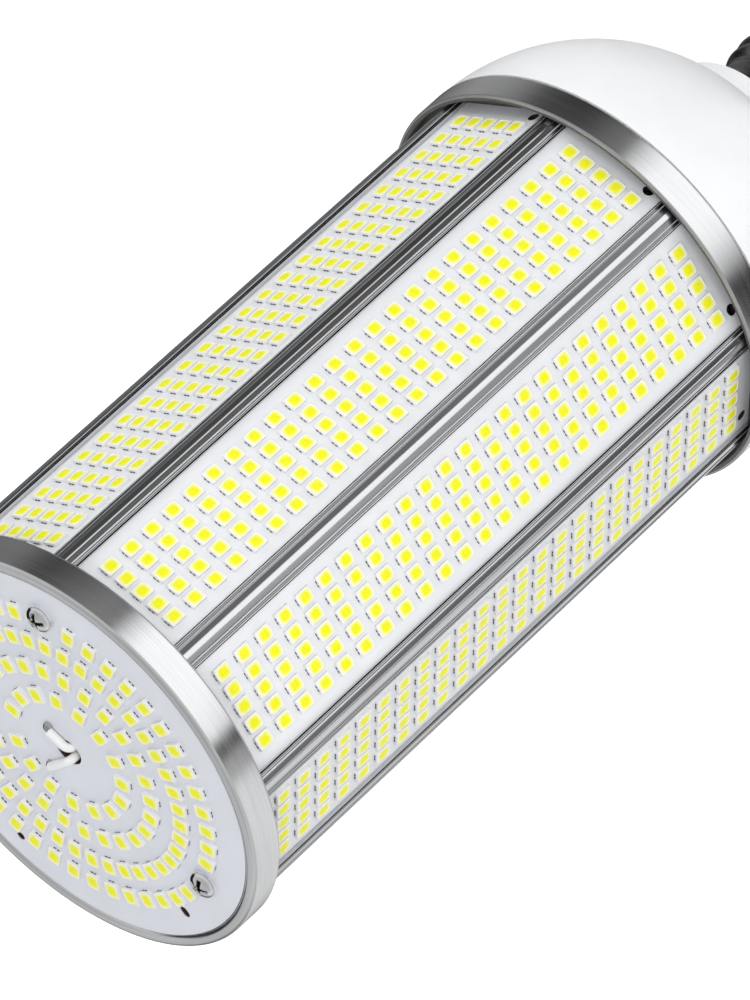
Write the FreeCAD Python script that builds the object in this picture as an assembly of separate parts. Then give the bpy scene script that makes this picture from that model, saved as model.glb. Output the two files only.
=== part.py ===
"""Corn LED bulb: LED strips round an aluminium extrusion, round front board, domed cap, screw base.

Lengths are millimetres. The bulb's axis is Z: z = 0 is the rim of the cap's collar, where the
screw shell starts, and +Z runs to the light-emitting front.
"""
import math
import os

import FreeCAD
import Part

# LED strips and the extrusion that carries them
SIDES = 9
ROWS = 24
COLUMNS = 5
ROW_PITCH = 5.5
COLUMN_PITCH = 3.62
STRIP_EDGE = 3.96
STRIP_T = 1.5
LAND_W = 5.33
LIP_OVERLAP = 0.6
LIP_T = 0.8
WALL_T = 1.8
CREST_W = 0.9
EDGE_CHAMFER = 0.12
EDGE_FLAT = 0.16
RIBS = 4
RIB_PITCH = 0.2
RIB_DEPTH = 0.06
RIDGE_W = 0.22
BAND_SLOPE = 0.15
BAND_DEPTH = 0.12
REAR_MARGIN = 6.6
FRONT_MARGIN = 9.7
WIRE_SIDE = 8.0
WIRE_END = 2.3
STRIP_HOLE_R = 1.1

# LED packages
LED_L = 3.5
LED_W = 2.8
LED_T = 0.75

# End rings
RING_WALL = 1.2
RING_W = 6.85
BEAD_T = 2.0
BEAD_ROUND = 0.9
SKIRT_ROUND = 0.5
FLANGE_T = 1.0

# Front board, with the count of LEDs in each ring
BOARD_T = 1.6
BOARD_SUNK = 0.4
BOARD_GAP = 0.6
INNER_COUNT = 15
SECOND_COUNT = 25
THIRD_COUNT = 40
GROUP_COUNT = 13
WIRE_HOLE_R = 2.8
SMALL_HOLE_R = 0.9
SLOT_R = 0.9
SLOT_REACH = 0.3
LEAD_OUT = ((-0.4, -1.8), (-1.2, 0.6))
PAD = ((4.5, -2.6), (2.5, 6.8))
SOLDER_R = 1.15

# LED rings: share of the board's radius, pitch angle and start angle
INNER_RING = (0.318, 23.12, 35.9)
SECOND_RING = (0.479, 14.21, 25.8)
THIRD_RING = (0.646, 8.904, 14.2)
GROUP_RING = (0.800, 8.15, 60.0)

# Screws
SCREW_COUNT = 3
SCREW_R = 1.45
SCREW_L = 10.0
HEAD_R = 3.0
HEAD_H = 2.0
BOSS_R = 3.9
FIRST_CORNER = -70.0

# Cap and screw base
CAP_H = 42.9
CAP_WALL = 2.2
DOME_RISE = 1.3
COLLAR_R = 16.8
COLLAR_FILLET = 1.5
SPIGOT_L = 11.0
SHELL_R = 13.1
SHELL_T = 0.5
SHELL_L = 18.8
SHELL_ROUND = 1.5
TIP_L = 25.5
CONTACT_R = 4.9
CONTACT_H = 2.3
MOUTH_R = 9.8

# Driver inside the body
BUS_SPACE = 5.3
CASE_WALL = 1.7
CASE_FLANGE_T = 1.5
CASE_REACH = 0.67
DRIVER_BOARD_T = 1.6
LEAD_R = 0.85
BUS_R = 0.6
STUB_R = 0.5
LEAD_BEND = 3.0
PAD_BEND = 1.4
LEAD_RISE = 20.0
LEAD_STEP = 5.0
LEAD_HEIGHT = 8.0
SHELL_LEAD_X = 6.0

# Clearances
SLIDE = 0.1
SIDE_PLAY = 0.15
END_PLAY = 0.2
BORE_PLAY = 0.05
HOLE_PLAY = 0.25
RING_PLAY = 0.46

# Derived radii of the extrusion and rings
HALF = math.pi / SIDES
VISIBLE_W = (COLUMNS - 1) * COLUMN_PITCH + 2 * STRIP_EDGE
FACE = (VISIBLE_W + LAND_W) / (2 * math.tan(HALF))
SEAT = FACE - STRIP_T
LIP_UNDER = FACE + SLIDE
LIP_TOP = LIP_UNDER + LIP_T
CREST_R = LIP_TOP / math.cos(HALF) - CREST_W / 2 * math.tan(HALF)
INNER = SEAT - WALL_T
PORT_R = INNER / math.cos(HALF) - BOSS_R + SLIDE
RING_IN = CREST_R + RING_PLAY
RING_R = RING_IN + RING_WALL
BEAD_IN = RING_R - BEAD_T
BOARD_R = BEAD_IN - BOARD_GAP
FLANGE_IN = PORT_R - BOSS_R - 1.0
CASE_R = PORT_R - BOSS_R - BUS_SPACE
CASE_IN = CASE_R - CASE_WALL
BUS_APOTHEM = CASE_R + 4 * BUS_R

# Derived heights
RECESS = BOARD_T + BOARD_SUNK
BODY_0 = CAP_H + RECESS + FLANGE_T
FIRST_ROW = BODY_0 + REAR_MARGIN
BODY_1 = FIRST_ROW + (ROWS - 1) * ROW_PITCH + FRONT_MARGIN
FRONT = BODY_1 + FLANGE_T + RECESS
BOARD_FACE = FRONT - BOARD_SUNK
WIRE_REAR = BODY_0 + WIRE_END
WIRE_FRONT = BODY_1 - WIRE_END
CASE_0 = BODY_0 - FLANGE_T - CASE_FLANGE_T
CASE_1 = BODY_0 + CASE_REACH * (BODY_1 - BODY_0)
CASE_END = CASE_1 - CASE_FLANGE_T
DRIVER_Y = -0.22 * CASE_IN

Z_AXIS = FreeCAD.Vector(0, 0, 1)
ORIGIN = FreeCAD.Vector(0, 0, 0)


def vec(x, y, z):
    """A point."""
    return FreeCAD.Vector(x, y, z)


def polar(radius, degrees, z):
    """A point at a radius and angle round the axis."""
    angle = math.radians(degrees)
    return vec(radius * math.cos(angle), radius * math.sin(angle), z)


def side_angle(index):
    """Direction in which one strip faces."""
    return -90.0 + index * 360.0 / SIDES


def turned(start, *steps):
    """Solid turned round the axis: each step is the next (r, z), or a mid point and end of an arc."""
    edges = []
    here = vec(start[0], 0, start[1])
    for step in steps + (start,):
        if isinstance(step[0], tuple):
            mid = vec(step[0][0], 0, step[0][1])
            there = vec(step[1][0], 0, step[1][1])
            edges.append(Part.Arc(here, mid, there).toShape())
        else:
            there = vec(step[0], 0, step[1])
            if there.distanceToPoint(here) < 1e-7:
                continue
            edges.append(Part.LineSegment(here, there).toShape())
        here = there
    return Part.Face(Part.Wire(edges)).revolve(ORIGIN, Z_AXIS, 360)


def corner(center_r, center_z, radius, degrees):
    """Mid point of a round: the point of a circle in the r-z plane at an angle."""
    angle = math.radians(degrees)
    return (center_r + radius * math.cos(angle), center_z + radius * math.sin(angle))


def drill(radius, start, axis, length):
    """Round cutter."""
    return Part.makeCylinder(radius, length, start, axis)


def box(x0, x1, y0, y1, z0, z1):
    """Box between two corners."""
    return Part.makeBox(x1 - x0, y1 - y0, z1 - z0, vec(x0, y0, z0))


def spun(shape, degrees):
    """Copy of a shape turned round the bulb's axis."""
    copy = shape.copy()
    copy.rotate(ORIGIN, Z_AXIS, degrees)
    return copy


def lead(points, radius, bend):
    """Round wire along straight runs joined by bends of one radius."""
    edges = []
    here = points[0]
    for before, at, after in zip(points, points[1:], points[2:]):
        back = (before - at).normalize()
        on = (after - at).normalize()
        half = back.getAngle(on) / 2
        reach = bend / math.tan(half)
        middle = (back + on).normalize()
        entry = at + back * reach
        edges.append(Part.LineSegment(here, entry).toShape())
        top = at + middle * (bend / math.sin(half) - bend)
        here = at + on * reach
        edges.append(Part.Arc(entry, top, here).toShape())
    edges.append(Part.LineSegment(here, points[-1]).toShape())
    section = Part.Wire(Part.Circle(points[0], points[1] - points[0], radius).toShape())
    return Part.Wire(edges).makePipeShell([section], True, True)


def save(name, shape):
    """Write one piece."""
    shape.exportStep(os.path.join("parts", name + ".step"))


def land_profile():
    """Half a land as (u, depth) points: edge, fine ribs, ridge, sunk band and the start of the crest."""
    start = VISIBLE_W / 2
    crest = LIP_TOP * math.tan(HALF) - CREST_W / 2 / math.cos(HALF)
    points = [(start, EDGE_CHAMFER), (start + EDGE_CHAMFER, 0)]
    u = start + EDGE_CHAMFER + EDGE_FLAT
    for index in range(RIBS):
        points.append((u, 0))
        points.append((u + RIB_PITCH / 2, RIB_DEPTH))
        u += RIB_PITCH
    points.append((u, 0))
    points.append((u + RIDGE_W, 0))
    points.append((u + RIDGE_W + BAND_SLOPE, BAND_DEPTH))
    points.append((crest - 2 * BAND_SLOPE, BAND_DEPTH))
    points.append((crest - BAND_SLOPE, 0))
    points.append((crest, 0))
    return points


def body_outline():
    """Nine-sided section with a slot, holding lips, lined lands and a flat crest on each corner."""
    half_slot = VISIBLE_W / 2 + LIP_OVERLAP + SIDE_PLAY
    half_open = VISIBLE_W / 2
    land = [(half_slot, SEAT), (half_slot, LIP_UNDER), (half_open, LIP_UNDER)]
    land += [(u, LIP_TOP - depth) for u, depth in land_profile()]
    section = [(-u, v) for u, v in reversed(land)] + land
    points = []
    for index in range(SIDES):
        angle = math.radians(side_angle(index))
        for u, v in section:
            points.append(vec(v * math.cos(angle) - u * math.sin(angle),
                              v * math.sin(angle) + u * math.cos(angle), BODY_0))
    return Part.Face(Part.makePolygon(points + points[:1]))


def wire_holes(radius):
    """Cutters for the wire holes at both ends of the strip that faces -Y."""
    reach = LIP_TOP - CASE_IN
    rear = drill(radius, vec(-WIRE_SIDE, -LIP_TOP, WIRE_REAR), vec(0, 1, 0), reach)
    front = drill(radius, vec(-WIRE_SIDE, -LIP_TOP, WIRE_FRONT), vec(0, 1, 0), reach)
    return [rear, front]


def extruded_body():
    """Extrusion: outline, hollow, three full-length screw ports and the wire holes."""
    length = BODY_1 - BODY_0
    outer = body_outline().extrude(Z_AXIS * length)
    hollow_r = INNER / math.cos(HALF)
    ring = [polar(hollow_r, side_angle(i + 0.5), BODY_0) for i in range(SIDES)]
    hollow = Part.Face(Part.makePolygon(ring + ring[:1])).extrude(Z_AXIS * length)
    bores = []
    for index in range(SCREW_COUNT):
        center = polar(PORT_R, FIRST_CORNER + index * 360 / SCREW_COUNT, BODY_0)
        hollow = hollow.cut(drill(BOSS_R, center, Z_AXIS, length))
        bores.append(drill(SCREW_R + BORE_PLAY, center, Z_AXIS, length))
    holes = []
    for index in range(SIDES):
        holes += [spun(hole, 360 / SIDES * index) for hole in wire_holes(STRIP_HOLE_R)]
    return outer.cut(hollow).cut(bores).cut(holes)


def screw_holes(shape, z0, height):
    """Clearance holes for the three screws."""
    holes = []
    for index in range(SCREW_COUNT):
        at = polar(PORT_R, FIRST_CORNER + index * 360 / SCREW_COUNT, z0)
        holes.append(drill(SCREW_R + HOLE_PLAY, at, Z_AXIS, height))
    return shape.cut(holes)


def end_ring():
    """Turned ring with a beaded lip at z = 0, a recess, a screw flange and a skirt over the body."""
    inner = BEAD_IN + BEAD_ROUND
    outer = RING_R - BEAD_ROUND
    skirt = RING_R - SKIRT_ROUND
    end = RING_W - SKIRT_ROUND
    ring = turned((skirt, RING_W), (corner(skirt, end, SKIRT_ROUND, 45), (RING_R, end)), (RING_R, BEAD_ROUND),
                  (corner(outer, BEAD_ROUND, BEAD_ROUND, -45), (outer, 0)), (inner, 0),
                  (corner(inner, BEAD_ROUND, BEAD_ROUND, 225), (BEAD_IN, BEAD_ROUND)),
                  (BEAD_IN, RECESS), (FLANGE_IN, RECESS), (FLANGE_IN, RECESS + FLANGE_T),
                  (RING_IN, RECESS + FLANGE_T), (RING_IN, RING_W))
    return screw_holes(ring, RECESS - 1, FLANGE_T + 2)


def screw():
    """Pan-head screw with its seat at z = 0 and its head below."""
    rim = HEAD_H * 0.4
    dome = (HEAD_R * 0.78, -HEAD_H * 0.86)
    return turned((0, SCREW_L), (SCREW_R * 0.55, SCREW_L), (SCREW_R, SCREW_L - SCREW_R), (SCREW_R, 0),
                  (HEAD_R, 0), (HEAD_R, -rim), (dome, (HEAD_R * 0.3, -HEAD_H)), (0, -HEAD_H))


def screws(z, flip):
    """Three screws as one group, driven from the front or from the rear."""
    one = screw()
    if flip:
        one.rotate(ORIGIN, vec(1, 0, 0), 180)
    group = []
    for index in range(SCREW_COUNT):
        copy = one.copy()
        copy.translate(polar(PORT_R, FIRST_CORNER + index * 360 / SCREW_COUNT, z))
        group.append(copy)
    return Part.makeCompound(group)


def led_strip():
    """Strip that faces -Y, with a wire hole near each end."""
    half = VISIBLE_W / 2 + LIP_OVERLAP
    strip = box(-half, half, -FACE, -SEAT, BODY_0 + END_PLAY, BODY_1 - END_PLAY)
    return strip.cut(wire_holes(STRIP_HOLE_R))


def strip_leds():
    """Rows of LED packages on the strip that faces -Y."""
    group = []
    for row in range(ROWS):
        z = FIRST_ROW + row * ROW_PITCH
        for column in range(COLUMNS):
            x = (column - (COLUMNS - 1) / 2) * COLUMN_PITCH - LED_W / 2
            group.append(box(x, x + LED_W, -FACE - LED_T, -FACE, z - LED_L / 2, z + LED_L / 2))
    return Part.makeCompound(group)


def front_board():
    """Round board with the wire hole, screw holes, and a small hole and a slot near the rim."""
    board = Part.makeCylinder(BOARD_R, BOARD_T, vec(0, 0, BOARD_FACE - BOARD_T))
    low = BOARD_FACE - BOARD_T - 1
    deep = BOARD_T + 2
    wire = drill(WIRE_HOLE_R, vec(0, 0, low), Z_AXIS, deep)
    small = drill(SMALL_HOLE_R, polar(0.882 * BOARD_R, 80.5, low), Z_AXIS, deep)
    slot = box(-SLOT_REACH, SLOT_REACH, -SLOT_R, SLOT_R, low, low + deep)
    for x in (-SLOT_REACH, SLOT_REACH):
        slot = slot.fuse(drill(SLOT_R, vec(x, 0, low), Z_AXIS, deep))
    slot.translate(vec(0.882 * BOARD_R, 0, 0))
    return screw_holes(board.cut([wire, small, spun(slot, 148.2)]), low, deep)


def ring_places(ring, count):
    """Radius and angle of each LED of a full ring."""
    share, pitch, start = ring
    return [(share * BOARD_R, start + pitch * index) for index in range(count)]


def group_places(ring, count):
    """Radius and angle of each LED of the outer groups, which leave room for the screws."""
    share, pitch, start = ring
    places = []
    for arc in range(SCREW_COUNT):
        first = FIRST_CORNER + start + arc * 360 / SCREW_COUNT - pitch * (count - 1) / 2
        places += [(share * BOARD_R, first + pitch * index) for index in range(count)]
    return places


def front_leds():
    """Rings of LED packages on the front board, long sides along the radius."""
    places = ring_places(INNER_RING, INNER_COUNT) + ring_places(SECOND_RING, SECOND_COUNT)
    places += ring_places(THIRD_RING, THIRD_COUNT) + group_places(GROUP_RING, GROUP_COUNT)
    group = []
    for r, degrees in places:
        led = box(r - LED_L / 2, r + LED_L / 2, -LED_W / 2, LED_W / 2, BOARD_FACE, BOARD_FACE + LED_T)
        group.append(spun(led, degrees))
    return Part.makeCompound(group)


def rear_cap():
    """Hollow dome with a collar, a spigot for the screw shell and a rim that sits in the rear ring."""
    dome_z = CAP_H + DOME_RISE
    dome_r = RING_R - SLIDE
    rim_r = math.sqrt(dome_r ** 2 - DOME_RISE ** 2)
    fillet_r = COLLAR_R + COLLAR_FILLET
    fillet_z = dome_z - math.sqrt((dome_r + COLLAR_FILLET) ** 2 - fillet_r ** 2)
    share = dome_r / (dome_r + COLLAR_FILLET)
    touch = (fillet_r * share, dome_z + (fillet_z - dome_z) * share)
    lean = math.degrees(math.atan2(touch[1] - fillet_z, touch[0] - fillet_r))
    fillet_mid = corner(fillet_r, fillet_z, COLLAR_FILLET, (180 + lean) / 2)
    swing = math.degrees(math.atan2(touch[1] - dome_z, touch[0]))
    tilt = math.degrees(math.atan2(-DOME_RISE, rim_r))
    spigot_r = SHELL_R - SHELL_T - SLIDE
    bore_r = spigot_r - CAP_WALL
    rim_out = BEAD_IN - SLIDE
    rim_in = rim_out - CAP_WALL
    inside = dome_r - CAP_WALL
    inside_low = dome_z - math.sqrt(inside ** 2 - bore_r ** 2)
    inside_top = dome_z - math.sqrt(inside ** 2 - rim_in ** 2)
    inside_0 = math.atan2(inside_low - dome_z, bore_r)
    inside_1 = math.atan2(inside_top - dome_z, rim_in)
    inside_mid = math.degrees(inside_0 + inside_1) / 2
    return turned((COLLAR_R, 0), (COLLAR_R, fillet_z), (fillet_mid, touch),
                  (corner(0, dome_z, dome_r, (swing + tilt) / 2), (rim_r, CAP_H)), (rim_out, CAP_H),
                  (rim_out, CAP_H + RECESS), (rim_in, CAP_H + RECESS), (rim_in, inside_top),
                  (corner(0, dome_z, inside, inside_mid), (bore_r, inside_low)), (bore_r, -SPIGOT_L),
                  (spigot_r, -SPIGOT_L), (spigot_r, 0))


def screw_shell():
    """Screw shell with a rounded, turned-in lower end that holds the insulator."""
    inner = SHELL_R - SHELL_T
    bend = SHELL_R - SHELL_ROUND
    low = -SHELL_L + SHELL_ROUND
    small = SHELL_ROUND - SHELL_T
    return turned((SHELL_R, 0), (SHELL_R, low),
                  (corner(bend, low, SHELL_ROUND, -45), (bend, -SHELL_L)), (MOUTH_R, -SHELL_L),
                  (MOUTH_R, -SHELL_L + SHELL_T), (bend, -SHELL_L + SHELL_T),
                  (corner(bend, low, small, -45), (inner, low)), (inner, 0))


def base_insulator():
    """Insulator: a flange inside the shell and a cone down to the contact."""
    seat = -SHELL_L + SHELL_T
    flange_r = SHELL_R - SHELL_ROUND - SLIDE
    neck_r = MOUTH_R - SLIDE
    end = -TIP_L + CONTACT_H
    bore = CONTACT_R * 0.4 + SLIDE
    return turned((bore, seat + 2), (bore, end), (CONTACT_R + 0.5, end), (neck_r, -SHELL_L - 0.4),
                  (neck_r, seat), (flange_r, seat), (flange_r, seat + 2))


def centre_contact():
    """Contact button with a hollow rivet stem through the insulator."""
    top = -TIP_L + CONTACT_H
    stem_r = CONTACT_R * 0.4
    bulge = (CONTACT_R * 0.75, -TIP_L + CONTACT_H * 0.18)
    return turned((stem_r, top), (stem_r, -SHELL_L + 3), (LEAD_R + SLIDE, -SHELL_L + 3),
                  (LEAD_R + SLIDE, top), (0, top), (0, -TIP_L), (CONTACT_R * 0.3, -TIP_L),
                  (bulge, (CONTACT_R, top - CONTACT_H * 0.35)), (CONTACT_R, top))


def bus(z):
    """Nine-sided wire round the driver case with a stub into each strip's wire hole."""
    angles = [side_angle(index + 0.5) for index in range(SIDES)]
    ends = [polar(BUS_APOTHEM / math.cos(HALF), angle, z) for angle in angles]
    first = (ends[-1] + ends[0]) * 0.5
    loop = lead([first] + ends + [first], BUS_R, LEAD_BEND)
    end = SEAT + STRIP_T / 3
    stub = drill(STUB_R, vec(-WIRE_SIDE, -end, z), vec(0, 1, 0), end - BUS_APOTHEM)
    return loop.fuse([spun(stub, 360 / SIDES * index) for index in range(SIDES)])


def feed_bus():
    """Bus at the rear end, with a straight feed that lies on the driver board."""
    y = DRIVER_Y + STUB_R
    far = -math.sqrt((BUS_APOTHEM + BUS_R / 2) ** 2 - y ** 2)
    feed = drill(STUB_R, vec(far, y, WIRE_REAR), vec(1, 0, 0), -far - 0.65 * CASE_IN)
    return bus(WIRE_REAR).fuse(feed)


def return_points():
    """Corners of the return wire from the front bus down to the driver board."""
    start = polar(BUS_APOTHEM, side_angle(4), WIRE_FRONT)
    inner = polar(CASE_IN * 0.6, side_angle(4), WIRE_FRONT)
    low = CASE_END - 0.12 * CASE_REACH * (BODY_1 - BODY_0)
    return [start, inner, vec(inner.x, inner.y, low), vec(inner.x, DRIVER_Y, low)]


def return_bus():
    """Bus at the front end, with the return wire."""
    return bus(WIRE_FRONT).fuse(lead(return_points(), STUB_R, LEAD_BEND))


def front_lead_points(index):
    """Corners of a lead from the driver board through the front board to its pad."""
    side = (1, -1)[index]
    x = side * 0.3 * CASE_IN
    low = CASE_END - 0.12 * CASE_REACH * (BODY_1 - BODY_0)
    height = DRIVER_Y + 0.35 * CASE_IN
    out = LEAD_OUT[index]
    pad = PAD[index]
    flat = BOARD_FACE + LEAD_R
    return [vec(x, DRIVER_Y, low), vec(x, height, low), vec(x, height, CASE_1 + 5),
            vec(out[0], out[1], CASE_1 + 25), vec(out[0], out[1], flat), vec(pad[0], pad[1], flat)]


def front_lead(index):
    """One lead to the front board: the last bend is tight, so that it lies flat on the board."""
    points = front_lead_points(index)
    run = lead(points[:5], LEAD_R, LEAD_BEND)
    trim = BOARD_FACE - LEAD_BEND
    run = run.common(box(-CASE_R, CASE_R, -CASE_R, CASE_R, 0, trim))
    top = lead([vec(points[4].x, points[4].y, trim)] + points[4:], LEAD_R, PAD_BEND)
    return run.fuse(top).removeSplitter()


def solder_joints():
    """Solder domes that close the ends of both leads on their pads."""
    dome = turned((0, 0), (SOLDER_R, 0), (corner(0, 0, SOLDER_R, 45), (0, SOLDER_R)))
    dome.translate(vec(SOLDER_R / 2, 0, BOARD_FACE))
    dome = dome.cut(box(-BOARD_R, 0, -BOARD_R, BOARD_R, BOARD_FACE - 1, FRONT + BOARD_T))
    domes = []
    for index in range(2):
        out = LEAD_OUT[index]
        pad = PAD[index]
        joint = spun(dome, math.degrees(math.atan2(pad[1] - out[1], pad[0] - out[0])))
        joint.translate(vec(pad[0], pad[1], 0))
        domes.append(joint)
    return Part.makeCompound(domes)


def driver_case():
    """Moulded case: flange under the rear ring, tube, closed end with wire holes and board rails."""
    case = turned((CASE_IN, CASE_0), (PORT_R + BOSS_R, CASE_0), (PORT_R + BOSS_R, CASE_0 + CASE_FLANGE_T),
                  (CASE_R, CASE_0 + CASE_FLANGE_T), (CASE_R, CASE_1), (0, CASE_1), (0, CASE_END),
                  (CASE_IN, CASE_END))
    rail_y = (DRIVER_Y + SLIDE, DRIVER_Y - DRIVER_BOARD_T - SLIDE - 1.5)
    rail_0 = WIRE_REAR + 5
    bore = Part.makeCylinder(CASE_IN + CASE_WALL / 2, CASE_1, ORIGIN)
    for y in rail_y:
        for x in (-CASE_IN, 0.86 * CASE_IN):
            rail = box(x, x + 0.14 * CASE_IN, y, y + 1.5, rail_0, CASE_1 - CASE_FLANGE_T / 2)
            case = case.fuse(rail.common(bore))
    holes = []
    for index in range(2):
        at = front_lead_points(index)[2]
        holes.append(drill(LEAD_R + HOLE_PLAY, vec(at.x, at.y, CASE_END - 1), Z_AXIS, CASE_FLANGE_T + 2))
    back = return_points()[2]
    holes.append(drill(STUB_R + HOLE_PLAY, vec(back.x, back.y, CASE_END - 1), Z_AXIS, CASE_FLANGE_T + 2))
    side = vec(-CASE_R - 1, DRIVER_Y + STUB_R, WIRE_REAR)
    holes.append(drill(STUB_R + HOLE_PLAY, side, vec(1, 0, 0), CASE_R / 2))
    return screw_holes(case.cut(holes).removeSplitter(), CASE_0 - 1, CASE_FLANGE_T + 2)


def driver_pieces():
    """Driver board and the components that stand on it, placed by parts of the case's radius and length."""
    r = CASE_IN
    face = DRIVER_Y
    board_0 = BODY_0 + 0.9
    span = CASE_END - board_0
    core_z = board_0 + 0.6 * span
    up = vec(0, 1, 0)
    half = 0.91 * r
    board = box(-half, half, face - DRIVER_BOARD_T, face, board_0, CASE_END)
    core = box(-0.4 * r, 0.4 * r, face, face + 0.74 * r, core_z - 0.45 * r, core_z + 0.45 * r)
    window = box(-0.24 * r, 0.24 * r, face + 0.14 * r, face + 0.6 * r, core_z - r, core_z + r)
    leg = box(-0.1 * r, 0.1 * r, face + 0.14 * r, face + 0.6 * r, core_z - 0.45 * r, core_z + 0.45 * r)
    coil = box(-0.24 * r, 0.24 * r, face + 0.14 * r, face + 0.6 * r, core_z - 0.6 * r, core_z + 0.6 * r)
    big = Part.makeCylinder(0.27 * r, 0.9 * r, vec(0.3 * r, face, board_0 + 0.28 * span), up)
    small = Part.makeCylinder(0.22 * r, 0.72 * r, vec(-0.36 * r, face, board_0 + 0.8 * span), up)
    choke = turned((0, 0), (0.22 * r, 0), (0.22 * r, 0.06 * r), (0.15 * r, 0.06 * r), (0.15 * r, 0.36 * r),
                   (0.22 * r, 0.36 * r), (0.22 * r, 0.42 * r), (0, 0.42 * r))
    choke.rotate(ORIGIN, vec(1, 0, 0), -90)
    choke.translate(vec(-0.4 * r, face, board_0 + 0.14 * span))
    tab = box(0.46 * r, 0.84 * r, face, face + 0.06 * r, core_z - 0.2 * r, core_z + 0.5 * r)
    tab = tab.cut(drill(0.08 * r, vec(0.65 * r, face - 1, core_z + 0.38 * r), up, r))
    chip = box(0.46 * r, 0.84 * r, face, face + 0.2 * r, core_z - 0.2 * r, core_z + 0.22 * r)
    film = box(-0.5 * r, -0.28 * r, face, face + 0.5 * r, board_0 + 0.24 * span, board_0 + 0.38 * span)
    bridge = box(-0.8 * r, -0.45 * r, face, face + 0.14 * r, core_z - 0.2 * r, core_z + 0.2 * r)
    fuse_end = vec(0.2 * r, face + 0.1 * r, board_0 + 0.09 * span)
    return {
        "driver_board": board,
        "transformer_core": core.cut(window).fuse(leg).removeSplitter(),
        "transformer_winding": coil.cut(leg),
        "input_capacitor": big.makeChamfer(0.04 * r, [big.Edges[0]]),
        "output_capacitor": small.makeChamfer(0.04 * r, [small.Edges[0]]),
        "line_choke": choke,
        "film_capacitor": film,
        "bridge_rectifier": bridge,
        "switching_transistor": tab.fuse(chip).removeSplitter(),
        "fuse": Part.makeCylinder(0.1 * r, 0.4 * r, fuse_end, vec(1, 0, 0)),
    }


def lead_end(x):
    """Last corners of a lead that comes up from the base and drops on the driver board."""
    end = BODY_0 + LEAD_STEP - STUB_R
    over = DRIVER_Y + LEAD_HEIGHT
    return [vec(x, over, CASE_0 - LEAD_STEP), vec(x, over, end), vec(x, DRIVER_Y, end)]


def contact_lead():
    """Lead from the contact's stem to the driver board."""
    start = [vec(0, 0, -TIP_L + CONTACT_H), vec(0, 0, CASE_0 - LEAD_RISE)]
    return lead(start + lead_end(0.1 * CASE_IN), LEAD_R, LEAD_BEND)


def shell_lead():
    """Lead from the inside of the screw shell to the driver board."""
    low = -SPIGOT_L - LEAD_BEND / 2
    wall = -math.sqrt((SHELL_R - SHELL_T) ** 2 - LEAD_R ** 2)
    start = [vec(wall, 0, low), vec(-SHELL_LEAD_X, 0, low), vec(-SHELL_LEAD_X, 0, CASE_0 - LEAD_RISE)]
    return lead(start + lead_end(-0.1 * CASE_IN), LEAD_R, LEAD_BEND)


def main():
    """Build every piece and write it."""
    os.makedirs("parts", exist_ok=True)
    save("extruded_body", extruded_body())
    rear = end_ring()
    rear.translate(vec(0, 0, CAP_H))
    save("rear_ring", rear)
    front = end_ring()
    front.rotate(ORIGIN, vec(1, 0, 0), 180)
    front.rotate(ORIGIN, Z_AXIS, 2 * FIRST_CORNER)
    front.translate(vec(0, 0, FRONT))
    save("front_ring", front)
    save("front_board", front_board())
    save("front_board_leds", front_leds())
    save("front_board_screws", screws(BOARD_FACE, True))
    save("rear_screws", screws(CASE_0, False))
    strip = led_strip()
    leds = strip_leds()
    for index in range(SIDES):
        save("led_strip_%d" % (index + 1), spun(strip, 360 / SIDES * index))
        save("strip_leds_%d" % (index + 1), spun(leds, 360 / SIDES * index))
    save("rear_cap", rear_cap())
    save("screw_shell", screw_shell())
    save("base_insulator", base_insulator())
    save("centre_contact", centre_contact())
    save("driver_case", driver_case())
    for name, shape in driver_pieces().items():
        save(name, shape)
    save("front_lead_1", front_lead(0))
    save("front_lead_2", front_lead(1))
    save("front_solder_joints", solder_joints())
    save("contact_lead", contact_lead())
    save("shell_lead", shell_lead())
    save("strip_feed_bus", feed_bus())
    save("strip_return_bus", return_bus())


main()
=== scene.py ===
"""Corn LED bulb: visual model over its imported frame."""
import math

import bpy
from mathutils import Euler, Matrix, Vector


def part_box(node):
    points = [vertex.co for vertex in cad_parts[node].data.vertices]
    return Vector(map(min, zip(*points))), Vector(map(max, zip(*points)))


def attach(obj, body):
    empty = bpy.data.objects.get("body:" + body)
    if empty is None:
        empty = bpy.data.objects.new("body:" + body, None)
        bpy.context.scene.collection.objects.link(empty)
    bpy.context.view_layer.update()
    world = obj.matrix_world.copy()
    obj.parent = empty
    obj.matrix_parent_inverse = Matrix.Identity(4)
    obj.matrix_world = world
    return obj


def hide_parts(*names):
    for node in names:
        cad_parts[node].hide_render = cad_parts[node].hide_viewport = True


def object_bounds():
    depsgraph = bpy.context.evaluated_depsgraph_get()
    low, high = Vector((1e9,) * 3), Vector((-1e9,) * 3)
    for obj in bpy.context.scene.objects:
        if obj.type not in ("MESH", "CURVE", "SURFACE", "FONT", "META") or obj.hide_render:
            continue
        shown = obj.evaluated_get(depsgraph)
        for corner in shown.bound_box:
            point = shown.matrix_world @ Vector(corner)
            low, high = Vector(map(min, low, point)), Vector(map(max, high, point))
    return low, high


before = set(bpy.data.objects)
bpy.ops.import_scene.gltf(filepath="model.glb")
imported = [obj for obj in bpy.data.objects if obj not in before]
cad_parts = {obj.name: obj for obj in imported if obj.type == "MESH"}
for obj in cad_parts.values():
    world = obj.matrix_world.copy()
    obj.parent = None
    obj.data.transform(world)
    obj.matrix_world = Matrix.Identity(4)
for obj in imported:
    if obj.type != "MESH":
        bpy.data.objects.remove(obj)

CAD_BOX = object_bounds()

bl_info = {
    "name": "Corn LED Bulb",
    "version": (1, 0, 0),
    "blender": (4, 5, 0),
    "location": "View3D > Sidebar > Corn Bulb",
    "description": "Builds the finished look of a corn LED bulb over its frame",
    "category": "Object",
}

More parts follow.
